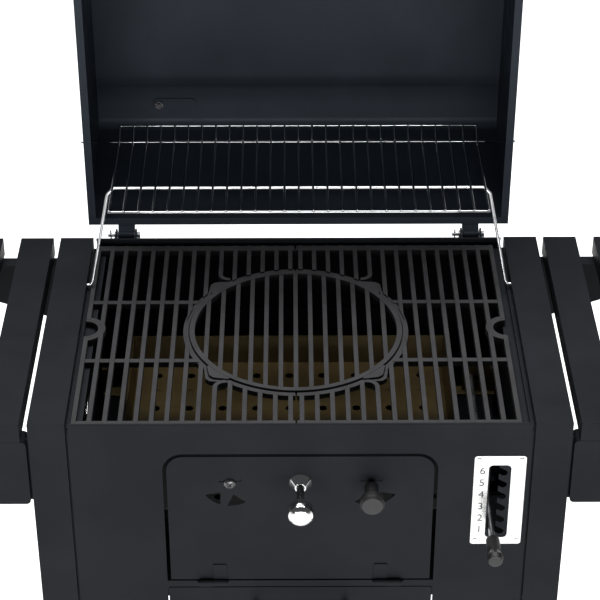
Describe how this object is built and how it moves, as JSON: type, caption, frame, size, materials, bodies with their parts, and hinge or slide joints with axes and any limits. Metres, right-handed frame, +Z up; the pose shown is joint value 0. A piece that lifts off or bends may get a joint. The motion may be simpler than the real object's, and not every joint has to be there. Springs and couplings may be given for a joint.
{
  "type": "charcoal grill cart",
  "caption": "Charcoal grill cart with hinged lid, linked warming rack, split grate with round insert, liftable coal pan, fire door, ash drawer, side shelves and wheels.",
  "frame": {"origin": "centre of the whole object's footprint, on the floor", "axes": "+Z up, +X to the right of a person at the front, front of the grill towards -Y"},
  "size_m": [1.1028, 0.759, 1.313],
  "materials": {
    "powder_coat": "fine satin powder coat",
    "lid_enamel": "satin black",
    "cast_iron": "matt",
    "brushed_steel": "brushed",
    "chrome_wire": "polished",
    "zinc_steel": "satin",
    "polished_steel": "polished",
    "black_plastic": "satin",
    "passivated_zinc": "satin, olive brown",
    "wheel_plastic": "satin",
    "black_wire": "satin"
  },
  "bodies": {
    "cart": {"side_frame_left": "powder_coat", "side_frame_right": "powder_coat", "shelf_slat_l1": "powder_coat", "shelf_slat_l2": "powder_coat", "shelf_slat_l3": "powder_coat", "shelf_slat_r1": "powder_coat", "shelf_slat_r2": "powder_coat", "shelf_slat_r3": "powder_coat", "shelf_apron_left": "powder_coat", "shelf_apron_right": "powder_coat", "shelf_bracket_left": "powder_coat", "shelf_bracket_right": "powder_coat", "firebox_front": "powder_coat", "firebox_back": "powder_coat", "firebox_side_left": "powder_coat", "firebox_side_right": "powder_coat", "firebox_floor": "powder_coat", "grate_ledge": "powder_coat", "scale_plate": "brushed_steel", "pan_guides": "powder_coat", "drawer_runners": "powder_coat", "frame_bolts": "zinc_steel", "stretchers": "powder_coat", "bottom_shelf": "black_wire", "wheel_axle": "zinc_steel", "leg_feet": "black_plastic", "hinge_brackets": "lid_enamel", "grate_left": "cast_iron", "grate_right": "cast_iron"},
    "lid": {"lid_shell": "lid_enamel", "lid_leaves": "lid_enamel", "lid_pins": "zinc_steel", "lid_handle_tube": "polished_steel", "lid_handle_posts": "black_plastic", "lid_vent_bolt": "zinc_steel"},
    "lid_vent": {"lid_vent_shutter": "lid_enamel"},
    "rack_bail": {"rack_legs": "chrome_wire"},
    "rack": {"warming_rack": "chrome_wire"},
    "insert": {"round_insert": "cast_iron"},
    "door": {"fire_door": "powder_coat", "door_leaves": "powder_coat", "door_knob_rose": "polished_steel", "door_knob_stem": "zinc_steel", "door_knob": "polished_steel"},
    "vent_left": {"vent_shutter_left": "powder_coat", "vent_screw_left": "polished_steel"},
    "vent_right": {"vent_shutter_right": "powder_coat", "vent_knob_right": "black_plastic"},
    "pan": {"coal_pan": "passivated_zinc", "pan_carrier": "passivated_zinc"},
    "lever": {"height_lever": "zinc_steel", "lever_grip": "black_plastic"},
    "drawer": {"ash_drawer": "powder_coat", "drawer_handle": "polished_steel"},
    "wheel_f": {"wheel_front": "wheel_plastic"},
    "wheel_r": {"wheel_rear": "wheel_plastic"}
  },
  "joints": [
    {"name": "lid_hinge", "type": "hinge", "parent": "cart", "child": "lid", "pos_m": [0, 0.1615, 0.845], "axis": [1, 0, 0], "range_deg": [0, 90]},
    {"name": "bail_hinge", "type": "hinge", "parent": "cart", "child": "rack_bail", "pos_m": [0, 0.0275, 0.845], "axis": [1, 0, 0], "range_deg": [0, 90]},
    {"name": "rack_pivot", "type": "hinge", "parent": "lid", "child": "rack", "pos_m": [0, 0.2185, 0.969], "axis": [1, 0, 0], "range_deg": [-90, 0]},
    {"name": "lid_vent_turn", "type": "hinge", "parent": "lid", "child": "lid_vent", "pos_m": [-0.212, 0.377, 0.9494], "axis": [0, 1, 0], "range_deg": [-80, 0]},
    {"name": "insert_lift", "type": "slide", "parent": "cart", "child": "insert", "axis": [0, 0, 1], "range_m": [0, 0.1]},
    {"name": "door_hinge", "type": "hinge", "parent": "cart", "child": "door", "pos_m": [0, -0.3105, 0.59], "axis": [1, 0, 0], "range_deg": [0, 68]},
    {"name": "vent_left_turn", "type": "hinge", "parent": "door", "child": "vent_left", "pos_m": [-0.0913, -0.3065, 0.755], "axis": [0, 1, 0], "range_deg": [0, 100]},
    {"name": "vent_right_turn", "type": "hinge", "parent": "door", "child": "vent_right", "pos_m": [0.0913, -0.3065, 0.755], "axis": [0, 1, 0], "range_deg": [-100, 0]},
    {"name": "pan_height", "type": "slide", "parent": "cart", "child": "pan", "axis": [0, 0, 1], "range_m": [0, 0.097]},
    {"name": "lever_shift", "type": "slide", "parent": "pan", "child": "lever", "axis": [0.866, 0, -0.5], "range_m": [0, 0.014]},
    {"name": "drawer_slide", "type": "slide", "parent": "cart", "child": "drawer", "axis": [0, -1, 0], "range_m": [0, 0.3]},
    {"name": "wheel_front_spin", "type": "hinge", "parent": "cart", "child": "wheel_f", "pos_m": [-0.3226, -0.3265, 0.09], "axis": [0, 1, 0], "continuous": true},
    {"name": "wheel_rear_spin", "type": "hinge", "parent": "cart", "child": "wheel_r", "pos_m": [-0.3226, 0.1665, 0.09], "axis": [0, 1, 0], "continuous": true}
  ],
  "couplings": [
    {"joint": "bail_hinge", "follows": "lid_hinge", "ratio": 1},
    {"joint": "rack_pivot", "follows": "lid_hinge", "ratio": -1}
  ]
}
